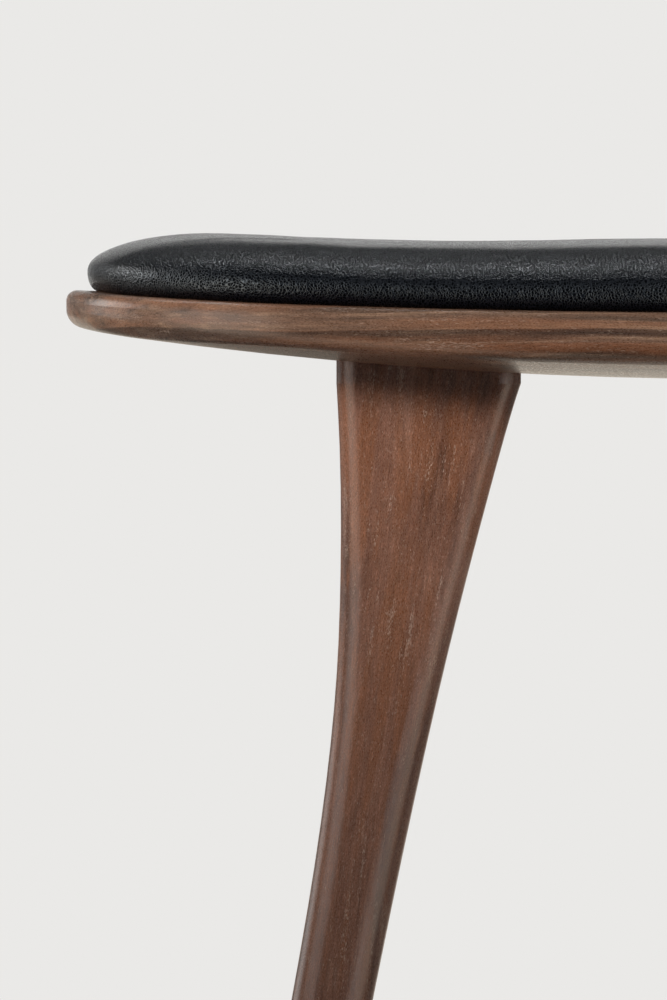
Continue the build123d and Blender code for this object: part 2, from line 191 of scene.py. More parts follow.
def srgb(red: int, green: int, blue: int) -> Colour:
    """Return the linear colour of a screen colour from 0 to 255."""
    shares = [value / 255 for value in (red, green, blue)]
    return tuple(s / 12.92 if s <= 0.04045 else ((s + 0.055) / 1.055) ** 2.4 for s in shares)


def dress(piece: Object, finish: Material) -> None:
    """Give every face of a piece one finish.

    Args:
        piece: The piece.
        finish: Its material.
    """
    piece.data.materials.clear()
    piece.data.materials.append(finish)
    piece.data.polygons.foreach_set("material_index", [0] * len(piece.data.polygons))


def dress_node(name: str, finish: Material) -> None:
    """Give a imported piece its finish, and report it."""
    dress(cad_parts[name], finish)
    log.info("%s: %s", name, finish.name)


def place_piece(piece: Object, finish: Material, slot: Slot, *nodes: str) -> None:
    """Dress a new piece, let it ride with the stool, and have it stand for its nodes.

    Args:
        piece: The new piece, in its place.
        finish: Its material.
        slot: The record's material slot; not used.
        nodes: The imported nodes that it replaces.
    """
    dress(piece, finish)
    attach(piece, BODY)
    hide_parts(*nodes)
    log.info("%s: %d faces", piece.name, len(piece.data.polygons))


def bake_modifiers(piece: Object) -> None:
    """Apply all of a piece's modifiers to its mesh.

    Args:
        piece: The piece, which keeps its name and its place.
    """
    graph = bpy.context.evaluated_depsgraph_get()
    made = bpy.data.meshes.new_from_object(piece.evaluated_get(graph))
    piece.modifiers.clear()
    old = piece.data
    piece.data = made
    bpy.data.meshes.remove(old)


def held_share(value: float) -> float:
    """Return a value held between 0 and 1."""
    return min(1.0, max(0.0, value))


@dataclass(frozen=True)
class Finish:
    """A finish that is worked out at each point of a piece's surface."""

    name: str

    def paint(self, graph: Graph) -> dict[str, Any]:
        """Return the principled shader's inputs, as each kind of finish works them out."""
        raise NotImplementedError

    def shader(self, graph: Graph) -> Any:
        """Return the shader that the piece shows."""
        return graph.put("ShaderNodeBsdfPrincipled", self.paint(graph))

    def build(self) -> Material:
        """Make the material.

        Returns:
            The material, with its shader in place.
        """
        made = bpy.data.materials.new(self.name)
        made.use_nodes = True
        graph = Graph(made.node_tree)
        graph.add("ShaderNodeOutputMaterial", {"Surface": self.shader(graph)})
        return made


@dataclass(frozen=True)
class WoodFinish(Finish):
    """A satin hardwood with broad figure, fine fibres and open pores.

    A mark's size is its length along the fibres and its width across them, in metres. A band says where a
    noise from 0 to 1 starts and ends a change of tone.
    """

    grain: Grain
    dark: Colour = srgb(80, 51, 38)
    middle: Colour = srgb(112, 76, 60)
    light: Colour = srgb(134, 97, 79)
    pore: Colour = srgb(176, 152, 134)
    warm: Colour = srgb(116, 72, 47)
    shift: Point = (0.0, 0.0, 0.0)
    turn: Point = (0.0, 0.0, 0.0)
    figure_size: Pair = (0.45, 0.012)
    streak_size: Pair = (0.12, 0.0022)
    warm_size: Pair = (0.16, 0.0055)
    fibre_size: Pair = (0.008, 0.00042)
    speck_size: Pair = (0.0008, 0.00030)
    pore_size: Pair = (0.0016, 0.00017)
    pore_row_size: Pair = (0.05, 0.0024)
    wander_size: Pair = (0.13, 0.05)
    wander_reach: float = 0.014
    side_ratio: float = 1.0
    dark_band: Pair = (0.30, 0.55)
    light_band: Pair = (0.52, 0.76)
    pale_streak_band: Pair = (0.48, 0.74)
    dark_streak_band: Pair = (0.26, 0.46)
    warm_band: Pair = (0.45, 0.62)
    pore_band: Pair = (0.66, 0.74)
    pore_row_band: Pair = (0.56, 0.74)
    pore_row_gain: float = 0.13
    streak_share: float = 0.5
    dark_streak_gain: float = 1.2
    warm_share: float = 0.55
    pore_share: float = 0.65
    warm_shift: Point = (0.31, 0.17, 0.23)
    pore_row_shift: Point = (0.7, 0.4, 0.9)
    fibre_band: Pair = (0.25, 0.75)
    fibre_shades: Pair = (0.80, 1.20)
    speck_band: Pair = (0.45, 0.75)
    speck_shades: Pair = (0.95, 1.35)
    gloss_band: Pair = (0.3, 0.7)
    gloss_spread: Pair = (-0.05, 0.07)
    roughness: float = 0.31
    specular: float = 0.55
    pore_depth: float = 0.00003
    fibre_depth: float = 0.00002
    line_height: float | None = None
    line_rise: float = 0.5 * MM
    line_light: float = 0.16
    line_fall: Pair = (-4.5 * MM, -0.3 * MM)
    line_dark: float = 0.65
    line_edge: float = 0.4 * MM

    def marks(
        self, place: Any, graph: Graph, size: Pair, detail: float,
        rough: float = 0.5, shift: Point = (0.0, 0.0, 0.0),
    ) -> Any:
        """Lay out marks that run with the grain.

        Args:
            place: The surface point's socket.
            graph: The material's tree.
            size: A mark's length and width.
            detail: How many finer noises are laid over it.
            rough: How strong those are.
            shift: Moves the pattern, counted in marks.

        Returns:
            The noise's socket, from 0 to 1.
        """
        length, width = size
        widths = [width, width * self.side_ratio, width]
        widths[self.grain.value] = length
        stretched = graph.stretch(place, tuple(1 / each for each in widths), shift)
        return graph.noise(stretched, detail=detail, rough=rough)

    def paint(self, graph: Graph) -> dict[str, Any]:
        """Lay figure, streaks, warm patches, fibres and pores over each other.

        Args:
            graph: The material's tree.

        Returns:
            The shader's inputs.
        """
        place = graph.stretch(graph.place, (1, 1, 1), self.shift, self.turn)
        wander = self.marks(place, graph, self.wander_size, 1.0)
        across = graph.triple(graph.math("MULTIPLY", wander, self.wander_reach))
        waved = graph.vector("ADD", place, across)
        figure = self.marks(waved, graph, self.figure_size, 3.0, 0.55)
        streak = self.marks(waved, graph, self.streak_size, 3.0, 0.6)
        fibre = self.marks(place, graph, self.fibre_size, 2.0)
        speck = self.marks(place, graph, self.speck_size, 1.0)
        pore = self.marks(waved, graph, self.pore_size, 1.0)
        pore_row = self.marks(waved, graph, self.pore_row_size, 1.0, shift=self.pore_row_shift)
        warmth = self.marks(waved, graph, self.warm_size, 2.0, shift=self.warm_shift)
        tone = graph.blend(graph.span(figure, *self.dark_band), self.dark, self.middle)
        tone = graph.blend(graph.span(figure, *self.light_band), tone, self.light)
        pale_share = graph.span(streak, *self.pale_streak_band, 0.0, self.streak_share)
        tone = graph.blend(pale_share, tone, self.light)
        most = self.dark_streak_gain * self.streak_share
        dark_share = graph.span(streak, *self.dark_streak_band, most, 0.0)
        tone = graph.blend(dark_share, tone, self.dark)
        tone = graph.blend(graph.span(warmth, *self.warm_band, 0.0, self.warm_share), tone, self.warm)
        if self.line_height is not None:
            tone = self.growth_line(graph, waved, tone)
        coarse = graph.span(fibre, *self.fibre_band, *self.fibre_shades)
        fine = graph.span(speck, *self.speck_band, *self.speck_shades)
        tone = graph.blend(1.0, tone, graph.triple(graph.math("MULTIPLY", coarse, fine)), "MULTIPLY")
        pore = graph.math("ADD", pore, graph.span(pore_row, *self.pore_row_band, 0.0, self.pore_row_gain))
        pores = graph.span(pore, *self.pore_band)
        tone = graph.blend(graph.math("MULTIPLY", pores, self.pore_share), tone, self.pore)
        gloss = graph.span(speck, *self.gloss_band, *(self.roughness + more for more in self.gloss_spread))
        relief = graph.bump(graph.math("SUBTRACT", 1.0, pores), self.pore_depth)
        relief = graph.bump(graph.math("ADD", fibre, speck), self.fibre_depth, relief)
        return {"Base Color": tone, "Roughness": gloss, "Normal": relief, "Specular IOR Level": self.specular}

    def growth_line(self, graph: Graph, waved: Any, tone: Any) -> Any:
        """Add a growth line that runs level along the seat's edge, pale above it and dark below.

        Args:
            graph: The material's tree.
            waved: The wandering surface point's socket.
            tone: The wood's colour so far.

        Returns:
            The colour's socket.
        """
        over = graph.math("SUBTRACT", graph.parts(waved)[2], self.line_height)
        tone = graph.blend(graph.span(over, 0.0, self.line_rise, 0.0, self.line_light), tone, self.light)
        below = graph.span(over, *self.line_fall, 0.0, self.line_dark)
        edge = graph.span(over, 0.0, self.line_edge, 1.0, 0.0)
        return graph.blend(graph.math("MULTIPLY", below, edge), tone, self.dark)


@dataclass(frozen=True)
class LeatherFinish(Finish):
    """Black pebbled leather with soft creases; painted shade dims its shine where it faces down."""

    name: str = "black_leather"
    hide: Colour = (0.0034, 0.0042, 0.0064)
    # painted shade: the darker colour of the hollows between the raised edges
    hollow_shade: Colour = (0.0004, 0.0005, 0.0008)
    roughness: float = 0.22
    gleam: Colour = (0.84, 0.93, 1.0)
    pebble_size: float = 0.95 * MM
    pebble_edge: float = 0.19
    pebble_depth: float = 0.060 * MM
    drift_scale: float = 260.0
    drift_reach: float = 0.9 * MM
    fold_size: Point = (4 * MM, 10 * MM, 18 * MM)
    fold_slant: float = math.radians(35)
    fold_depth: float = 0.05 * MM
    furrow: float = 0.05
    patch_scale: float = 22.0
    patch_band: Pair = (0.42, 0.62)
    wave_size: float = 22 * MM
    wave_depth: float = 0.3 * MM
    edge_shine: float = 1.1
    hollow_shine: float = 0.05
    hollow_dullness: float = 0.08
    # painted shade under the roll: where and how far the shine drops as the leather faces down
    down_shade_band: Pair = (-0.75, -0.05)
    down_shade_share: float = 0.15

    def paint(self, graph: Graph) -> dict[str, Any]:
        """Raise a net of fine edges, which shine, over hollows that don't and take a darker colour as painted
        shade, and work soft folds into them in patches.

        Args:
            graph: The material's tree.

        Returns:
            The shader's inputs.
        """
        inputs = {"Vector": graph.place, "Scale": self.drift_scale, "Detail": 1.0}
        drift = graph.add("ShaderNodeTexNoise", inputs).outputs["Color"]
        moved = graph.vector("ADD", graph.place, graph.scaled(drift, self.drift_reach))
        seam = graph.cells(moved, 1 / self.pebble_size, "DISTANCE_TO_EDGE")
        raised = graph.span(seam, 0.0, self.pebble_edge, 1.0, 0.0)
        per_metre = tuple(1 / size for size in self.fold_size)
        slanted = graph.stretch(moved, per_metre, turn=(0.0, self.fold_slant, 0.0))
        folds = graph.noise(slanted, detail=3.0, rough=0.6)
        furrows = graph.span(graph.math("ABSOLUTE", graph.math("SUBTRACT", folds, 0.5)), 0.0, self.furrow)
        patches = graph.span(graph.noise(graph.place, self.patch_scale), *self.patch_band)
        worked = graph.math("MAXIMUM", furrows, graph.math("SUBTRACT", 1.0, patches))
        relief = graph.bump(graph.noise(graph.place, 1 / self.wave_size), self.wave_depth)
        relief = graph.bump(worked, self.fold_depth, relief)
        relief = graph.bump(raised, self.pebble_depth, relief)
        # painted shade: the shine is cut down where the leather faces down, under the pad's roll
        upward = graph.parts(graph.add("ShaderNodeNewGeometry").outputs["True Normal"])[2]
        down_shade = graph.span(upward, *self.down_shade_band, self.down_shade_share, 1.0)
        shine = graph.math("MULTIPLY_ADD", raised, self.edge_shine, self.hollow_shine)
        dullest = self.roughness + self.hollow_dullness
        return {
            # painted shade: the hollows are coloured darker than the raised edges
            "Base Color": graph.blend(raised, self.hollow_shade, self.hide),
            "Roughness": graph.math("MULTIPLY_ADD", raised, -self.hollow_dullness, dullest),
            "Normal": relief,
            "Specular IOR Level": graph.math("MULTIPLY", shine, down_shade),
            "Specular Tint": opaque(self.gleam),
        }


@dataclass(frozen=True)
class CloudedFinish(Finish):
    """Metal or nylon with a fine grain, clouded by tarnish or wear."""

    tone: Colour
    clouded: Colour
    metallic: float = 1.0
    cloud_scale: float = 180.0
    cloud_band: Pair = (0.45, 0.75)
    grain_scale: Point = (300.0, 300.0, 6000.0)
    grain_depth: float = 0.02 * MM
    gloss_band: Pair = (0.3, 0.8)
    gloss: Pair = (0.30, 0.48)
    grain_gloss: bool = False

    def paint(self, graph: Graph) -> dict[str, Any]:
        """Cloud the stuff, and let its clouds or its grain dull it.

        Args:
            graph: The material's tree.

        Returns:
            The shader's inputs.
        """
        grain = graph.noise(graph.stretch(graph.place, self.grain_scale))
        clouds = graph.noise(graph.place, self.cloud_scale, 3.0)
        return {
            "Base Color": graph.blend(graph.span(clouds, *self.cloud_band), self.tone, self.clouded),
            "Metallic": self.metallic,
            "Roughness": graph.span(grain if self.grain_gloss else clouds, *self.gloss_band, *self.gloss),
            "Normal": graph.bump(grain, self.grain_depth),
        }


@dataclass(frozen=True)
class FibreFinish(Finish):
    """A matt soft stuff: felt, foam or bonded cloth, with its own speck size."""

    tone: Colour
    shadow: Colour
    speck: float
    depth: float
    sheen: float = 0.0
    coat_band: Pair = (0.22, 0.6)
    roughness: float = 0.95
    specular: float = 0.2

    def paint(self, graph: Graph) -> dict[str, Any]:
        """Mat fine hairs and cells together.

        Args:
            graph: The material's tree.

        Returns:
            The shader's inputs.
        """
        hairs = graph.noise(graph.place, 1 / self.speck, 4.0, 0.7)
        specks = graph.cells(graph.place, 0.6 / self.speck)
        coat = graph.math("MULTIPLY", hairs, graph.span(specks, 0.0, 0.6, 0.7, 1.0))
        return {
            "Base Color": graph.blend(graph.span(coat, *self.coat_band), self.shadow, self.tone),
            "Roughness": self.roughness,
            "Normal": graph.bump(coat, self.depth),
            "Sheen Weight": self.sheen,
            "Specular IOR Level": self.specular,
        }


@dataclass(frozen=True)
class PlywoodFinish(Finish):
    """Thin birch layers, crossed by turns."""

    name: str = "birch_plywood"
    light: Colour = srgb(214, 189, 152)
    dark: Colour = srgb(172, 138, 100)
    layer: float = 1.2 * MM
    fibre_scale: Point = (18.0, 700.0, 700.0)
    fibre_band: Pair = (0.45, 0.8)
    fibre_share: float = 0.5
    fibre_depth: float = 0.05 * MM
    figure_scale: Point = (5.0, 45.0, 45.0)
    figure_band: Pair = (0.35, 0.7)
    glue_share: float = 0.6
    roughness: float = 0.62

    def paint(self, graph: Graph) -> dict[str, Any]:
        """Draw birch figure and fibres, with a dark glue line between the layers.

        Args:
            graph: The material's tree.

        Returns:
            The shader's inputs.
        """
        layers = graph.math("PINGPONG", graph.parts(graph.place)[2], self.layer)
        fibre = graph.noise(graph.stretch(graph.place, self.fibre_scale), detail=3.0)
        figure = graph.noise(graph.stretch(graph.place, self.figure_scale), detail=3.0)
        tone = graph.blend(graph.span(figure, *self.figure_band), self.light, self.dark)
        tone = graph.blend(graph.span(fibre, *self.fibre_band, 0.0, self.fibre_share), tone, self.dark)
        tone = graph.blend(graph.span(layers, 0.0, self.layer / 4, self.glue_share, 0.0), tone, self.dark)
        relief = graph.bump(fibre, self.fibre_depth)
        return {"Base Color": tone, "Roughness": self.roughness, "Normal": relief}


def circle_drop(radius: float, run: float) -> float:
    """Return how far a circle leaves its tangent after a run along that tangent."""
    return radius - math.sqrt(radius**2 - run**2)


@dataclass(frozen=True)
class CurvedFace:
    """A face that is an arc along the seat, swept by an arc across it."""

    middle: float
    along: float
    across: float

    def height(self, x: float, y: float, raised: float = 0.0) -> float:
        """Return the face's height over a point of the plan, once it is raised square to itself."""
        reach = self.along + circle_drop(self.across + raised, y) - raised
        return self.middle + self.along - math.sqrt(reach**2 - x**2)


@dataclass(frozen=True)
class Arc:
    """An arc of the seat's plan, from one direction to another about its middle."""

    middle: Pair
    radius: float
    start: float
    stop: float

    def length(self, inset: float) -> float:
        """Return the arc's length once the outline is drawn in by an inset."""
        return (self.radius - inset) * (self.stop - self.start)


@dataclass(frozen=True)
class Station:
    """A place on the seat's outline: its arc's middle and radius, and its direction from there."""

    middle: Pair
    radius: float
    turn: float

    def at(self, inset: float) -> Pair:
        """Return the place's plan point once the outline is drawn in by an inset."""
        reach = self.radius - inset
        return (self.middle[0] + reach * math.cos(self.turn), self.middle[1] + reach * math.sin(self.turn))

    def flipped(self, x: int, y: int) -> "Station":
        """Return the station in another quarter of the plan, where x and y are 1 or -1."""
        turn = math.atan2(y * math.sin(self.turn), x * math.cos(self.turn))
        return Station((x * self.middle[0], y * self.middle[1]), self.radius, turn)


@dataclass(frozen=True)
class Outline:
    """The seat's plan: two long bows and two short ones, with rounded corners."""

    length: float = 500 * MM
    width: float = 360 * MM
    front_bow: float = 1500 * MM
    end_bow: float = 430 * MM
    corner: float = 92 * MM

    def arcs(self) -> list[Arc]:
        """Fit the corner between the end's bow and the back's.

        Returns:
            The arcs of one quarter, from the end's middle to the back's middle.
        """
        long_middle = (0.0, self.width / 2 - self.front_bow)
        short_middle = (self.length / 2 - self.end_bow, 0.0)
        long_reach = self.front_bow - self.corner
        short_reach = self.end_bow - self.corner
        gap = math.dist(long_middle, short_middle)
        along = (long_reach**2 - short_reach**2 + gap**2) / (2 * gap)
        aside = math.sqrt(long_reach**2 - along**2)
        unit = ((short_middle[0] - long_middle[0]) / gap, (short_middle[1] - long_middle[1]) / gap)
        x = long_middle[0] + along * unit[0] + aside * unit[1]
        y = long_middle[1] + along * unit[1] - aside * unit[0]
        from_end = math.atan2(y - short_middle[1], x - short_middle[0])
        from_front = math.atan2(y - long_middle[1], x - long_middle[0])
        return [
            Arc(short_middle, self.end_bow, 0.0, from_end),
            Arc((x, y), self.corner, from_end, from_front),
            Arc(long_middle, self.front_bow, from_front, QUARTER),
        ]

    def steps(self, inset: float, step: float) -> Steps:
        """Return how many steps of about one length a quarter's end and side take at an inset."""
        end, corner, side = (arc.length(inset) for arc in self.arcs())
        return round((end + corner / 2) / step), round((side + corner / 2) / step)

    def loop(self, inset: float, steps: Steps) -> list[Station]:
        """Place stations all round the outline.

        Args:
            inset: The inset at which they lie evenly.
            steps: Steps from the end's middle to the corner's middle, and from there to the back's middle.

        Returns:
            The stations, from the front right corner's middle anticlockwise.
        """
        end_steps, side_steps = steps
        arcs = self.arcs()
        lengths = [arc.length(inset) for arc in arcs]
        half = lengths[0] + lengths[1] / 2
        runs = [half * step / end_steps for step in range(end_steps)]
        runs += [half + (sum(lengths) - half) * step / side_steps for step in range(side_steps + 1)]
        quarter = []
        for run in runs:
            for arc, length in zip(arcs, lengths):
                if run <= length or arc is arcs[-1]:
                    turn = arc.start + run / (arc.radius - inset)
                    quarter.append(Station(arc.middle, arc.radius, turn))
                    break
                run -= length
        end, side = quarter[:end_steps + 1], quarter[end_steps:]
        right = [s.flipped(1, -1) for s in end[:0:-1]] + end[:-1]
        back = side[:-1] + [s.flipped(-1, 1) for s in side[:0:-1]]
        left = [s.flipped(-1, 1) for s in end[:0:-1]] + [s.flipped(-1, -1) for s in end[:-1]]
        front = [s.flipped(-1, -1) for s in side[:-1]] + [s.flipped(1, -1) for s in side[:0:-1]]
        return right + back + left + front


@dataclass
class Patchwork:
    """Gathers a form's points and faces: loops, the bands between them, and the grids that fill them."""

    steps: Steps = (0, 0)
    points: list[Point] = field(default_factory=list)
    faces: list[Face] = field(default_factory=list)

    def piece(self, name: str) -> Object:
        """Make a smooth-shaded object of the points and faces.

        Args:
            name: The piece's name.

        Returns:
            The object, linked to the scene.
        """
        mesh = bpy.data.meshes.new(name)
        mesh.from_pydata(self.points, [], self.faces)
        mesh.validate()
        mesh.shade_smooth()
        made = bpy.data.objects.new(name, mesh)
        bpy.context.scene.collection.objects.link(made)
        return made

    def loop(self, points: list[Point]) -> list[int]:
        """Add the points of a loop, anticlockwise as seen from above, and return their numbers."""
        self.points += points
        return list(range(len(self.points) - len(points), len(self.points)))

    def ring(self, x: float, y: float, z: float, reaches: list[float]) -> list[int]:
        """Add a round loop with a point at each reach from its middle, and return their numbers."""
        turns = [math.tau * side / len(reaches) for side in range(len(reaches))]
        return self.loop([(x + r * math.cos(t), y + r * math.sin(t), z) for r, t in zip(reaches, turns)])

    def join(self, *loops: list[int]) -> None:
        """Add a band of faces between each loop and the next.

        Args:
            loops: Point numbers. The faces look outward where each loop lies above the last.
        """
        for lower, upper in zip(loops, loops[1:]):
            around = list(zip(lower, upper))
            for (a, d), (b, c) in zip(around, around[1:] + around[:1]):
                self.faces.append((a, b, c, d))

    def drum(self, x: float, y: float, levels: list[tuple[float, list[float]]]) -> None:
        """Add an upright drum with both ends closed.

        Args:
            x: Its middle along the seat.
            y: Its middle across the seat.
            levels: The height and the reaches of each ring, from the bottom up.
        """
        rings = [self.ring(x, y, z, reaches) for z, reaches in levels]
        self.join(*rings)
        self.faces += [tuple(reversed(rings[0])), tuple(rings[-1])]

    def fill(self, border: list[int], height: Height, facing_up: bool = True) -> None:
        """Fill a loop with a grid of four-sided faces.

        Args:
            border: The loop's point numbers, from the front right corner anticlockwise.
            height: Gives the height over a point of the plan.
            facing_up: Which side of the grid is the outside.
        """
        rows, columns = (2 * count for count in self.steps)
        right = border[:rows + 1]
        back = border[rows:rows + columns + 1][::-1]
        left = border[rows + columns:2 * rows + columns + 1][::-1]
        front = border[2 * rows + columns:] + border[:1]
        edges = (front, back, left, right)
        sides = [[[self.points[n][axis] for n in edge] for axis in (0, 1)] for edge in edges]
        grid = [front]
        for j in range(1, rows):
            inner = []
            for i in range(1, columns):
                u, v = i / columns, j / rows
                x, y = (
                    (1 - v) * near[i] + v * far[i] + (1 - u) * west[j] + u * east[j]
                    - (1 - u) * (1 - v) * near[0] - u * (1 - v) * near[-1]
                    - (1 - u) * v * far[0] - u * v * far[-1]
                    for near, far, west, east in zip(*sides)
                )
                inner.append((x, y, height(x, y)))
            grid.append([left[j], *self.loop(inner), right[j]])
        for low, high in zip(grid, grid[1:] + [back]):
            for i in range(columns):
                face = (low[i], low[i + 1], high[i + 1], high[i])
                self.faces.append(face if facing_up else face[::-1])


def nut_places() -> list[Pair]:
    """Return the tee nuts' plan places, from the corners of their node's box."""
    (x0, y0, _), (x1, y1, _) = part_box("tee_nuts")
    return [(x, y) for x in (x0 + NUT_FLANGE, x1 - NUT_FLANGE) for y in (y0 + NUT_FLANGE, y1 - NUT_FLANGE)]


@dataclass
class LeatherPad:
    """The seat pad: leather over foam on a plywood board, with a cloth lining under it."""

    outline: Outline = Outline()
    wood: CurvedFace = CurvedFace(428 * MM, 5000 * MM, 5700 * MM)
    crown: CurvedFace = CurvedFace(452.6 * MM, 8000 * MM, 2180 * MM)
    nuts: list[Pair] = field(default_factory=nut_places)
    inset: float = 7.5 * MM
    roll: float = 38 * MM
    end_roll: float = 49 * MM
    side_height: float = 7.5 * MM
    side_draw: float = 4.5 * MM
    gap: float = 0.3 * MM
    rest: float = 0.1 * MM
    leather: float = 1.4 * MM
    hem: float = 30 * MM
    board: float = 6 * MM
    board_inset: float = 6 * MM
    lining: float = 0.5 * MM
    cover_step: float = 6 * MM
    cover_rings: int = 9
    foam_step: float = 10.8 * MM
    foam_rings: int = 6
    lining_steps: Steps = (12, 17)
    side_shares: tuple[float, ...] = (0.0, 0.25, 0.5, 0.75)
    hem_shares: tuple[float, ...] = (0.0, 0.35, 0.7)
    dip: float = 0.9 * MM
    dip_level: float = 0.2 * MM
    dip_spacing: float = 122 * MM
    dip_end: float = 200 * MM
    dip_fade: float = 60 * MM
    stapled: float = 3 * MM
    swell: float = 0.45 * MM
    swell_give: float = 0.4
    swell_steps: int = 20
    crease_start: float = 4 * MM
    crease_fade: float = 8 * MM
    broad_crease: float = 0.32 * MM
    broad_scale: float = 28.0
    broad_shift: Point = (3.1, 0.7, 9.2)
    fine_crease: float = 0.14 * MM
    fine_scale: float = 75.0
    fine_slant: float = 0.7
    fine_stretch: float = 0.5
    dent: float = 1.0 * MM
    dent_reach: float = 24 * MM
    dent_fade: float = 8 * MM
    hole_radius: float = 2.9 * MM
    hole_sides: int = 16
    punch_spare: float = 5 * MM

    def level(self, station: Station, inset: float, raised: float) -> Point:
        """Return the point at an inset that lies raised above the wood."""
        x, y = station.at(inset)
        return (x, y, self.wood.height(x, y, raised))

    def side_point(self, station: Station, skin: float, base: float, turn: float) -> Point:
        """Find a point of the side's lower part, where it draws in to the wood.

        Args:
            station: The place on the outline.
            skin: How far inside the cover's outer face.
            base: How far above the cover's lowest line the form starts.
            turn: From 0 at the wood to a quarter turn at the widest line.

        Returns:
            The point.
        """
        draw = (self.side_draw - skin / 2) * (1 - math.sin(turn))
        rise = (self.side_height - base) * (1 - math.cos(turn))
        return self.level(station, self.inset + skin + draw, self.rest + base + rise)

    def roll_point(self, station: Station, skin: float, turn: float) -> Point:
        """Find a point of the roll from the widest line to the crown.

        Args:
            station: The place on the outline.
            skin: How far inside the cover's outer face.
            turn: From 0 at the widest line to a quarter turn at the crown.

        Returns:
            The point.
        """
        rim = station.at(self.inset)
        wall = self.crown.height(*rim) - self.wood.height(*rim, self.rest)
        drop = (wall - self.side_height - skin) * (1 - math.sin(turn))
        width = self.roll + (self.end_roll - self.roll) * math.cos(station.turn) ** 2 - skin
        x, y = station.at(self.inset + skin + width * (1 - math.cos(turn)))
        return (x, y, self.top_height(x, y, skin) - drop)

    def top_height(self, x: float, y: float, skin: float) -> float:
        """Return the crown's height over a point of the plan, with the dips that use has left in it."""
        dip = self.dip * math.cos(math.pi * x / self.dip_spacing) - self.dip_level
        return self.crown.height(x, y, -skin) + dip * held_share((self.dip_end - abs(x)) / self.dip_fade)

    def shell(
        self, skin: float, base: float, step: float, rings: int
    ) -> tuple[Patchwork, list[Station], list[int]]:
        """Lay out the cover's form, from the bottom of its side to the middle of its crown.

        Args:
            skin: How far inside the cover's outer face.
            base: How far above the cover's lowest line the form starts.
            step: About how long an edge is.
            rings: How many bands of faces the roll has.

        Returns:
            The patchwork, the stations round it and the bottom loop's point numbers.
        """
        work = Patchwork(self.outline.steps(self.inset, step))
        stations = self.outline.loop(self.inset, work.steps)
        turns = [QUARTER * share for share in self.side_shares]
        loops = [work.loop([self.side_point(s, skin, base, turn) for s in stations]) for turn in turns]
        turns = [QUARTER * ring / rings for ring in range(rings + 1)]
        loops += [work.loop([self.roll_point(s, skin, turn) for s in stations]) for turn in turns]
        work.join(*loops)
        work.fill(loops[-1], lambda x, y: self.top_height(x, y, skin))
        return work, stations, loops[0]

    def build_cover(self, finish: Material) -> None:
        """Make the leather cover: a shell with its hem turned under the board.

        Args:
            finish: The leather.
        """
        skin = self.swell
        work, stations, bottom = self.shell(skin, 0.0, self.cover_step, self.cover_rings)
        insets = [self.inset + self.hem - (self.hem - self.side_draw) * share for share in self.hem_shares]
        hem = [work.loop([self.level(s, inset, self.rest) for s in stations]) for inset in insets]
        work.join(*hem, bottom)
        piece = work.piece("leather_pad_cover")
        self.swell_cover(piece)
        self.crease_cover(piece)
        piece.modifiers.new("fine", "SUBSURF").levels = 1
        shell = piece.modifiers.new("hide", "SOLIDIFY")
        shell.thickness, shell.offset, shell.use_even_offset = self.leather, -1.0, True
        bake_modifiers(piece)
        piece.data.shade_smooth()
        place_piece(piece, finish, Slot.PAD_LEATHER, "leather_cover")

    def over_wood(self, place: Vector) -> float:
        """Return a point's height over the wood."""
        return place.z - self.wood.height(place.x, place.y)

    def swell_cover(self, piece: Object) -> None:
        """Let the cover swell like a cushion, then hold it to what the foam lets it move.

        Args:
            piece: The cover, as it is before it is filled.
        """
        mesh, scene = piece.data, bpy.context.scene
        pins = piece.vertex_groups.new(name="stapled")
        low = [vertex.index for vertex in mesh.vertices if self.over_wood(vertex.co) < self.stapled]
        pins.add(low, 1.0, "REPLACE")
        cloth = piece.modifiers.new("swell", "CLOTH")
        settings = {
            "quality": 6, "mass": 0.35, "tension_stiffness": 60, "compression_stiffness": 60,
            "shear_stiffness": 30, "bending_stiffness": 6, "vertex_group_mass": pins.name,
            "use_pressure": True, "uniform_pressure_force": 4,
        }
        for name, value in settings.items():
            setattr(cloth.settings, name, value)
        cloth.settings.effector_weights.gravity = 0
        cloth.point_cache.frame_start, cloth.point_cache.frame_end = 1, self.swell_steps
        for step in range(1, self.swell_steps + 1):
            scene.frame_set(step)
        swollen = piece.evaluated_get(bpy.context.evaluated_depsgraph_get())
        filled = zip(mesh.vertices, swollen.to_mesh().vertices)
        rises = [(full.co - flat.co).dot(flat.normal) for flat, full in filled]
        swollen.to_mesh_clear()
        piece.modifiers.clear()
        scene.frame_set(1)
        self.push(mesh, [self.swell * (1 + self.swell_give * r / (abs(r) + self.swell)) for r in rises])
        least, most = min(rises) / MM, max(rises) / MM
        log.info("%s: swells by %.2f to %.2f mm before the foam holds it", piece.name, least, most)

    def crease_cover(self, piece: Object) -> None:
        """Give the cover the slight unevenness of a hide pulled over foam.

        Args:
            piece: The cover.
        """
        pushes = []
        for vertex in piece.data.vertices:
            place = vertex.co
            share = held_share((self.over_wood(place) - self.crease_start) / self.crease_fade)
            broad = noise.noise(place * self.broad_scale + Vector(self.broad_shift))
            across = Vector((place.x + self.fine_slant * place.z, place.y * self.fine_stretch, 0.0))
            fine = noise.noise(across * self.fine_scale)
            pushes.append(share * (self.broad_crease * broad + self.fine_crease * fine))
        self.push(piece.data, pushes)

    def push(self, mesh: bpy.types.Mesh, pushes: list[float]) -> None:
        """Move each vertex out along its normal by its own push."""
        for vertex, normal, push in zip(mesh.vertices, [v.normal.copy() for v in mesh.vertices], pushes):
            vertex.co += normal * push

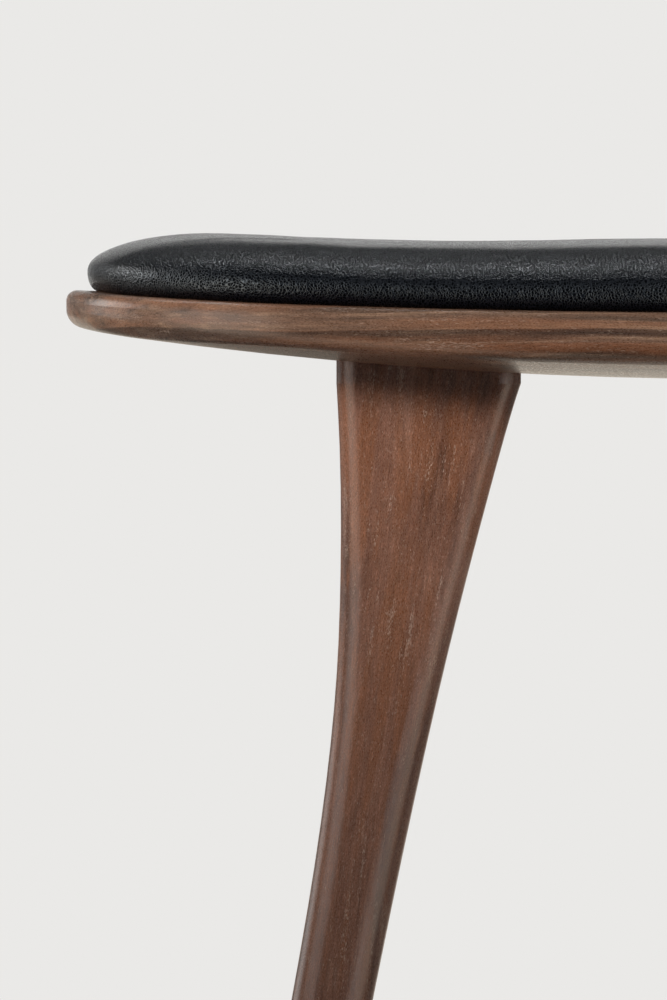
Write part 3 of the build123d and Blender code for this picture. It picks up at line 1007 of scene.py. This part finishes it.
    def build_foam(self, finish: Material) -> None:
        """Make the foam, with its bed for the board and the dents that the tee nuts press in it.

        Args:
            finish: The foam.
        """
        skin = self.swell + self.leather + self.gap
        work, stations, bottom = self.shell(skin, skin, self.foam_step, self.foam_rings)
        rim = self.inset + self.leather + self.board_inset - self.gap
        roof = self.leather + self.board + 3 * self.gap
        levels = (roof, self.gap + skin)
        wall = [work.loop([self.level(s, rim, height) for s in stations]) for height in levels]
        work.join(*wall, bottom)
        work.fill(wall[0], lambda x, y: self.wood.height(x, y, roof) + self.nut_dent(x, y), facing_up=False)
        piece = work.piece("foam_filling")
        place_piece(piece, finish, Slot.PAD_FOAM, "pad_foam")

    def nut_dent(self, x: float, y: float) -> float:
        """Return how far the tee nuts lift the foam's bed over a point of the plan."""
        away = min(math.dist((x, y), nut) for nut in self.nuts)
        return self.dent * held_share((self.dent_reach - away) / self.dent_fade)

    def build_lining(self, finish: Material) -> None:
        """Make the cloth lining under the board, with a hole for each pad screw.

        Args:
            finish: The cloth.
        """
        rim = self.inset + self.hem + self.gap
        top = self.gap + self.leather
        work = Patchwork(self.lining_steps)
        border = work.loop([self.level(s, rim, top) for s in self.outline.loop(rim, work.steps)])
        work.fill(border, lambda x, y: self.wood.height(x, y, top))
        piece = work.piece("cloth_lining")
        low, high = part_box("pad_lining")
        punch, reaches = Patchwork(), [self.hole_radius] * self.hole_sides
        for x, y in self.nuts:
            punch.drum(x, y, [(low.z - self.punch_spare, reaches), (high.z + self.punch_spare, reaches)])
        cut = punch.piece("lining_holes")
        sheet = piece.modifiers.new("cloth", "SOLIDIFY")
        sheet.thickness, sheet.offset = self.lining, -1.0
        holes = piece.modifiers.new("holes", "BOOLEAN")
        holes.object, holes.solver = cut, "EXACT"
        bake_modifiers(piece)
        bpy.data.objects.remove(cut)
        place_piece(piece, finish, Slot.PAD_LINING, "pad_lining")


def pale_wood(name: str, grain: Grain) -> Material:
    """Return a plain beech for dowels and tongues."""
    tones = {"dark": srgb(176, 133, 98), "middle": srgb(203, 163, 124), "light": srgb(219, 184, 146)}
    return WoodFinish(name, grain, pore=srgb(150, 108, 76), roughness=0.6, **tones).build()


@dataclass(frozen=True)
class WoodenSeat:
    """The three boards of the seat and the loose tongues between them."""

    wood: WoodFinish = WoodFinish(
        "seat_hardwood", Grain.ALONG_SEAT, side_ratio=3.5, line_height=425.5 * MM,
        dark=srgb(48, 35, 28), middle=srgb(85, 62, 49), light=srgb(119, 93, 74),
        figure_size=(0.34, 0.0075), streak_size=(0.12, 0.0017),
        warm_share=0.42, streak_share=0.9, pore_share=0.35,
    )
    shifts: tuple[Point, ...] = ((0.0, 0.0, 0.0), (3.1, 1.7, 0.4), (7.3, 4.1, 0.9))

    def dress(self) -> None:
        """Give each board its own stretch of figure, and the tongues a pale wood."""
        for row, shift in zip(("front", "middle", "rear"), self.shifts):
            finish = replace(self.wood, name=f"seat_hardwood_{row}", shift=shift)
            dress_node(f"{row}_seat_board", finish.build())
        pale = pale_wood("tongue_beech", Grain.ALONG_SEAT)
        for row in ROWS:
            dress_node(f"{row}_loose_tongue", pale)


@dataclass(frozen=True)
class CarvedLegs:
    """The four legs with their dowels, inserts, bolts and washers, and the stool's other steel."""

    lean: float = math.radians(7.0)
    front_lean: float = math.radians(5.0)
    step: Point = (0.61, 1.37, 0.0)

    def dress(self) -> None:
        """Give each leg fibres that lean as it does, and its fixings their own finishes."""
        beech = pale_wood("dowel_beech", Grain.DOWN_LEG)
        steel = CloudedFinish("plated_steel", srgb(196, 197, 198), srgb(150, 150, 152)).build()
        brass = CloudedFinish("turned_brass", srgb(207, 171, 98), srgb(160, 122, 62)).build()
        fixings = {"leg_dowels": beech, "leg_insert": brass, "leg_bolt": steel, "bolt_washer": steel}
        for number, corner in enumerate(CORNERS):
            x_side = -1 if "left" in corner else 1
            y_side = -1 if "front" in corner else 1
            turn = (-y_side * self.front_lean, x_side * self.lean, 0.0)
            shift = tuple(step * number for step in self.step)
            wood = WoodFinish(f"leg_hardwood_{corner}", Grain.DOWN_LEG, turn=turn, shift=shift)
            dress_node(f"{corner}_leg", wood.build())
            for name, finish in fixings.items():
                dress_node(f"{corner}_{name}", finish)
        for name in ("glide_screws", "pad_staples", "tee_nuts", "pad_screws", "pad_screw_washers"):
            dress_node(name, steel)


@dataclass(frozen=True)
class FootGlides:
    """The nylon glides and the felt under them."""

    sides: int = 56
    edge: float = 0.7 * MM
    edge_shares: tuple[float, ...] = (0.0, 0.33, 0.67, 1.0)
    fray: float = 0.12

    def build(self) -> None:
        """Dress the glides and make a felt disc under each."""
        nylon = CloudedFinish(
            "moulded_nylon", srgb(58, 50, 46), srgb(84, 76, 71), metallic=0.0,
            cloud_scale=240.0, cloud_band=(0.4, 0.8), grain_scale=(2600.0, 2600.0, 2600.0),
            grain_depth=0.03 * MM, gloss_band=(0.3, 0.7), gloss=(0.42, 0.55), grain_gloss=True,
        ).build()
        tones = {"tone": srgb(112, 100, 90), "shadow": srgb(58, 50, 44)}
        felt = FibreFinish("grey_brown_felt", speck=0.4 * MM, depth=0.4 * MM, sheen=0.4, **tones).build()
        for number, corner in enumerate(CORNERS):
            dress_node(f"{corner}_glide", nylon)
            self.build_felt(corner, number, felt)

    def build_felt(self, corner: str, seed: int, finish: Material) -> None:
        """Make one felt disc: a soft rounded rim, frayed a little.

        Args:
            corner: The foot's corner.
            seed: Its random seed.
            finish: The felt.
        """
        node = f"{corner}_glide_felt"
        low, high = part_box(node)
        radius = (high.x - low.x) / 2
        draw = random.Random(seed)
        frays = [abs(draw.uniform(-self.fray, self.fray) * MM) for _ in range(self.sides)]
        turns = [QUARTER * share for share in self.edge_shares]
        rims = [(self.edge * (1 - math.sin(t)), self.edge * (1 - math.cos(t))) for t in turns]
        levels = [(low.z + rise, inset) for inset, rise in rims]
        levels += [(high.z - rise, inset) for inset, rise in reversed(rims)]
        work = Patchwork()
        rings = [(z, [radius - inset - fray for fray in frays]) for z, inset in levels]
        work.drum((low.x + high.x) / 2, (low.y + high.y) / 2, rings)
        place_piece(work.piece(f"{corner}_felt_disc"), finish, Slot.GLIDE_FELT, node)


@dataclass(frozen=True)
class Softbox:
    """A soft lamp with a grid that narrows its spread, in degrees.

    It can show in mirror images or not, and light matt faces or not.
    """

    name: str
    place: Point
    size: Pair
    power: float
    spread: float
    target: Point
    mirrored: bool = False
    matt: bool = True

    def build(self) -> None:
        """Hang the lamp and turn it to its target."""
        lamp = bpy.data.lights.new(self.name, "AREA")
        lamp.shape = "RECTANGLE"
        lamp.size, lamp.size_y = self.size
        lamp.energy = self.power
        lamp.spread = math.radians(self.spread)
        hung = bpy.data.objects.new(self.name, lamp)
        hung.location = self.place
        aim = Vector(self.target) - Vector(self.place)
        hung.rotation_euler = aim.to_track_quat("-Z", "Y").to_euler()
        hung.visible_camera = False
        hung.visible_glossy = self.mirrored
        hung.visible_diffuse = self.matt
        bpy.context.scene.collection.objects.link(hung)


@dataclass(frozen=True)
class Glow:
    """A soft light patch of the room.

    Its bearing is counted from the front, and its reach, elevation and height are in degrees too. Mirror and
    matt are the shares of its level that show in mirror images and that light matt faces.
    """

    bearing: float
    reach: float
    level: float
    elevation: float = 0.0
    height: float = 12.0
    mirror: float = 1.0
    matt: float = 1.0

    def add_to(self, share: Any, graph: Graph, flat: Any, rise: Any, glossy: Any) -> Any:
        """Add the patch to the room's light.

        Args:
            share: The room's light so far.
            graph: The world's tree.
            flat: The level direction's socket.
            rise: The socket of the direction's height, from -1 to 1.
            glossy: The socket that tells a mirrored ray, 0 or 1.

        Returns:
            The light's socket.
        """
        bearing, reach, elevation, height = (
            math.radians(angle) for angle in (self.bearing, self.reach, self.elevation, self.height)
        )
        toward = graph.measure("DOT_PRODUCT", flat, (math.sin(bearing), -math.cos(bearing), 0.0))
        wide = graph.span(toward, math.cos(reach), math.cos(reach / 2))
        away = graph.math("ABSOLUTE", graph.math("SUBTRACT", rise, math.sin(elevation)))
        tall = graph.span(away, math.sin(height) / 2, math.sin(height), 1.0, 0.0)
        matt_level = self.level * self.matt
        level = graph.math("MULTIPLY_ADD", glossy, self.level * self.mirror - matt_level, matt_level)
        return graph.math("MULTIPLY_ADD", graph.math("MULTIPLY", wide, tall), level, share)


@dataclass(frozen=True)
class FloorFinish(Finish):
    """Pale paper that holds the stool's shadow and fades into the backdrop.

    The floor gives its own light too. How much of it shows in a mirror image depends on the bearing from a
    point before the stool's middle, and is less in a strip under the seat's left end. What reaches matt faces
    comes from beside and behind that point.
    """

    backdrop: Colour
    pale: Colour = srgb(232, 231, 229)
    palest: Colour = srgb(236, 235, 233)
    own_light: Colour = (0.34, 0.34, 0.335)
    warmth: Colour = (1.04, 0.95, 0.82)
    near_bounce: Colour = (0.20, 0.20, 0.20)
    far_bounce: Colour = (0.18, 0.18, 0.18)
    paper_scale: float = 220.0
    fade_start: float = 0.55
    fade_end: float = 1.15
    point_before: float = 0.22
    strip_place: float = 0.25
    strip_band: Pair = (0.07, 0.16)
    strip_gain: float = 0.25
    behind_band: Pair = (0.90, 0.98)
    behind_gains: Pair = (0.22, 1.45)
    slanting: float = 0.48
    slanting_band: Pair = (0.20, 0.40)
    slanting_gain: float = 2.6
    before_band: Pair = (-0.75, -0.90)
    before_gain: float = 0.04
    bounce: float = 3.0
    beside_band: Pair = (0.12, 0.36)
    beside_depths: Pair = (0.06, 0.26)
    behind_depths: Pair = (0.24, 0.60)

    def mirror_gain(self, graph: Graph, along: Any, ahead: Any) -> Any:
        """Work out how brightly the floor shows in a mirror image.

        Args:
            graph: The material's tree.
            along: The floor point's place along the seat.
            ahead: The cosine of its bearing, from 1 behind the point to -1 before it.

        Returns:
            The gain's socket: 1 where it shows as it is.
        """
        off_strip = graph.math("ABSOLUTE", graph.math("ADD", along, self.strip_place))
        strip = graph.span(off_strip, *self.strip_band, self.strip_gain, 1.0)
        behind = graph.math("MULTIPLY", graph.span(ahead, *self.behind_band, *self.behind_gains), strip)
        off_slant = graph.math("ABSOLUTE", graph.math("ADD", ahead, self.slanting))
        slanting = graph.span(off_slant, *self.slanting_band, self.slanting_gain, 0.0)
        before = graph.span(ahead, *self.before_band, 1.0, self.before_gain)
        return graph.math("MULTIPLY", graph.math("ADD", behind, slanting), before)

    def bounce_level(self, graph: Graph, along: Any, depth: Any) -> Any:
        """Work out how much light the near floor gives to matt faces.

        Args:
            graph: The material's tree.
            along: The floor point's place along the seat.
            depth: Its place behind the point.

        Returns:
            The level's socket.
        """
        beside = graph.span(graph.math("ABSOLUTE", along), *self.beside_band, 0.0, self.bounce)
        beside = graph.math("MULTIPLY", beside, graph.span(depth, *self.beside_depths))
        return graph.math("MAXIMUM", beside, graph.span(depth, *self.behind_depths, 0.0, self.bounce))

    def shader(self, graph: Graph) -> Any:
        """Mix the lit paper, its own light and the far floor's plain glow.

        Args:
            graph: The material's tree.

        Returns:
            The shader's socket, clear from below.
        """
        rays = graph.add("ShaderNodeLightPath").outputs
        glossy = rays["Is Glossy Ray"]
        seen = graph.math("MAXIMUM", rays["Is Camera Ray"], glossy)
        from_point = graph.vector("ADD", graph.place, (0.0, self.point_before, 0.0))
        along, depth, _ = graph.parts(from_point)
        ahead = graph.math("DIVIDE", depth, graph.measure("LENGTH", from_point))
        mirrored = self.mirror_gain(graph, along, ahead)
        gain = graph.math("MULTIPLY_ADD", glossy, graph.math("SUBTRACT", mirrored, 1.0), 1.0)
        tint = graph.blend(glossy, (1.0, 1.0, 1.0), self.warmth)
        paper = graph.span(graph.noise(graph.place, self.paper_scale, 3.0), 0.3, 0.7)
        tone = graph.blend(1.0, graph.blend(paper, self.pale, self.palest), tint, "MULTIPLY")
        held = graph.scaled(tone, graph.math("MINIMUM", gain, 1.0))
        lit = graph.put("ShaderNodeBsdfDiffuse", {0: graph.blend(seen, self.near_bounce, held)})
        level = graph.triple(self.bounce_level(graph, along, depth))
        raised = graph.blend(1.0, graph.blend(seen, level, self.own_light), tint, "MULTIPLY")
        lift = graph.put("ShaderNodeEmission", {0: raised, 1: gain})
        near = graph.put("ShaderNodeAddShader", {0: lit, 1: lift})
        shown = graph.blend(1.0, graph.blend(seen, self.far_bounce, self.backdrop), tint, "MULTIPLY")
        far = graph.put("ShaderNodeEmission", {0: shown, 1: gain})
        fade = graph.span(graph.measure("LENGTH", graph.place), self.fade_start, self.fade_end)
        whole = graph.put("ShaderNodeMixShader", {0: fade, 1: near, 2: far})
        under = graph.add("ShaderNodeNewGeometry").outputs["Backfacing"]
        clear = graph.put("ShaderNodeBsdfTransparent")
        return graph.put("ShaderNodeMixShader", {0: under, 1: whole, 2: clear})


@dataclass(frozen=True)
class Studio:
    """The floor, the lights, the backdrop and the camera."""

    backdrop: Colour = srgb(234, 233, 231)
    camera_place: Point = (-0.1000, -2.2, 0.423)
    camera_tilt: float = 1.76
    camera_pan: float = 1.32
    focal_pixels: float = 5867.0
    frame_pixels: float = 1000.0
    sensor: float = 36.0
    view_end: float = 60.0
    floor_radius: float = 7.0
    floor_rings: int = 40
    floor_sides: int = 96
    floor_spread: float = 1.5
    softboxes: tuple[Softbox, ...] = (
        Softbox("left_panel", (-1.36, -0.88, 1.08), (1.10, 0.66), 12.8, 48.0, (-0.20, -0.13, 0.96)),
        Softbox("right_panel", (0.62, -1.22, 1.08), (0.70, 0.66), 6.4, 48.0, (-0.20, -0.13, 0.96)),
        Softbox("high_panel", (-0.05, 0.55, 1.50), (1.50, 0.07), 1.5, 110.0, (-0.10, 0.0, 0.45), True, False),
    )
    ambient: float = 0.08
    glows: tuple[Glow, ...] = (
        Glow(180.0, 13.0, 2.4, matt=0.4),
        Glow(-54.0, 32.0, 3.1, 5.0, 10.0, matt=0.0),
        Glow(34.0, 20.0, 4.6, matt=0.0),
        Glow(88.0, 40.0, 1.4, 0.0, 20.0, matt=0.3),
        Glow(-122.0, 24.0, 3.4, 14.0, 16.0, matt=0.0),
        Glow(-15.0, 110.0, 0.25, 34.0, 30.0, mirror=0.5),
        Glow(180.0, 110.0, 0.60, 36.0, 34.0, mirror=0.0),
    )

    def build(self) -> None:
        """Set up the whole studio."""
        for softbox in self.softboxes:
            softbox.build()
        self.build_world()
        self.build_floor()
        self.build_camera()
        bpy.context.scene.view_settings.view_transform = "Standard"

    def build_world(self) -> None:
        """Light the stool with the room's glows, and show the plain backdrop to the camera."""
        world = bpy.data.worlds.new("studio")
        bpy.context.scene.world = world
        world.use_nodes = True
        graph = Graph(world.node_tree, "Generated")
        rise = graph.parts(graph.place)[2]
        flat = graph.vector("NORMALIZE", graph.vector("MULTIPLY", graph.place, (1.0, 1.0, 0.0)))
        rays = graph.add("ShaderNodeLightPath").outputs
        share: Any = self.ambient
        for glow in self.glows:
            share = glow.add_to(share, graph, flat, rise, rays["Is Glossy Ray"])
        direct = graph.math("MAXIMUM", rays["Is Camera Ray"], rays["Is Transmission Ray"])
        shown = graph.blend(direct, graph.scaled(self.backdrop, share), self.backdrop)
        graph.add("ShaderNodeOutputWorld", {0: graph.put("ShaderNodeBackground", {0: shown, 1: 1.0})})

    def build_floor(self) -> None:
        """Lay a round floor, in rings that are closer near its middle."""
        work = Patchwork()
        shares = [ring / self.floor_rings for ring in range(self.floor_rings, 0, -1)]
        reaches = [self.floor_radius * share**self.floor_spread for share in shares]
        rings = [work.ring(0.0, 0.0, 0.0, [reach] * self.floor_sides) for reach in reaches]
        work.join(*rings)
        work.faces.append(tuple(rings[-1]))
        floor = work.piece("studio_floor")
        dress(floor, FloorFinish("pale_floor", self.backdrop).build())

    def build_camera(self) -> None:
        """Set the camera at the photograph's place and angle."""
        camera = bpy.data.cameras.new("camera")
        camera.sensor_width = self.sensor
        camera.lens = self.focal_pixels * self.sensor / self.frame_pixels
        camera.clip_end = self.view_end
        held = bpy.data.objects.new("camera", camera)
        held.location = self.camera_place
        held.rotation_euler = (math.radians(90 - self.camera_tilt), 0.0, math.radians(self.camera_pan))
        bpy.context.scene.collection.objects.link(held)
        bpy.context.scene.camera = held


def main() -> None:
    """Build every group of pieces in order."""
    logging.basicConfig(level=logging.INFO, format="%(name)s %(message)s")
    Studio().build()
    WoodenSeat().dress()
    CarvedLegs().dress()
    FootGlides().build()
    dress_node("pad_board", PlywoodFinish().build())
    pad = LeatherPad()
    pad.build_cover(LeatherFinish().build())
    foam = FibreFinish("pad_foam_cells", srgb(226, 214, 186), srgb(170, 156, 126), 0.9 * MM, 0.5 * MM)
    pad.build_foam(foam.build())
    cloth = FibreFinish("black_bonded_cloth", srgb(44, 44, 46), srgb(20, 20, 22), 0.6 * MM, 0.2 * MM, 0.2)
    pad.build_lining(cloth.build())


if __name__ == "__main__":
    main()
